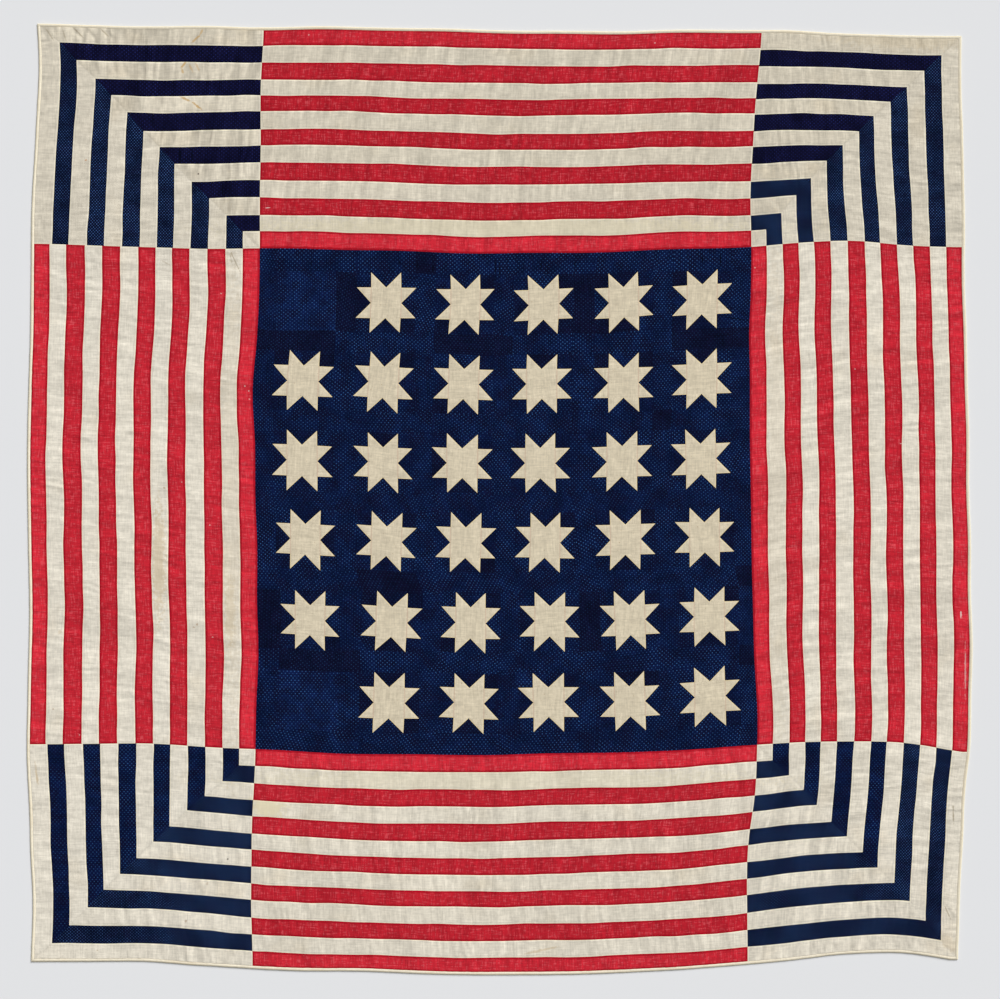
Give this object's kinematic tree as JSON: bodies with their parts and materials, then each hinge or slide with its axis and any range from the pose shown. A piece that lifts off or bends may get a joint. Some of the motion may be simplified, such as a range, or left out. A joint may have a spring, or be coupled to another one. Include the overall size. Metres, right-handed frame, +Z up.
{
  "type": "quilt blanket",
  "caption": "Square patchwork blanket spread flat: indigo field with rows of eight-pointed stars, striped borders, mitred striped corner blocks, narrow binding",
  "frame": {"origin": "on the floor plane under the middle of the blanket's bounding box", "axes": "+X to the right as the picture shows it, +Y towards the head edge at the top of the picture, +Z up out of the top side"},
  "size_m": [2.1179, 2.13, 0.0041],
  "materials": {
    "indigo_print": "matt cotton print, indigo with small pale dots",
    "red_strips": "matt plain-weave cotton, red strips alternating with cream ones",
    "indigo_strips": "matt cotton, indigo print strips alternating with cream ones",
    "cream_binding": "matt plain-weave cotton, cream, folded over the edge"
  },
  "bodies": {
    "root": {"star_field": "indigo_print", "border_head": "red_strips", "border_foot": "red_strips", "border_left": "red_strips", "border_right": "red_strips", "corner_head_left": "indigo_strips", "corner_head_right": "indigo_strips", "corner_foot_left": "indigo_strips", "corner_foot_right": "indigo_strips", "binding_head": "cream_binding", "binding_foot": "cream_binding", "binding_left": "cream_binding", "binding_right": "cream_binding"}
  },
  "joints": []
}
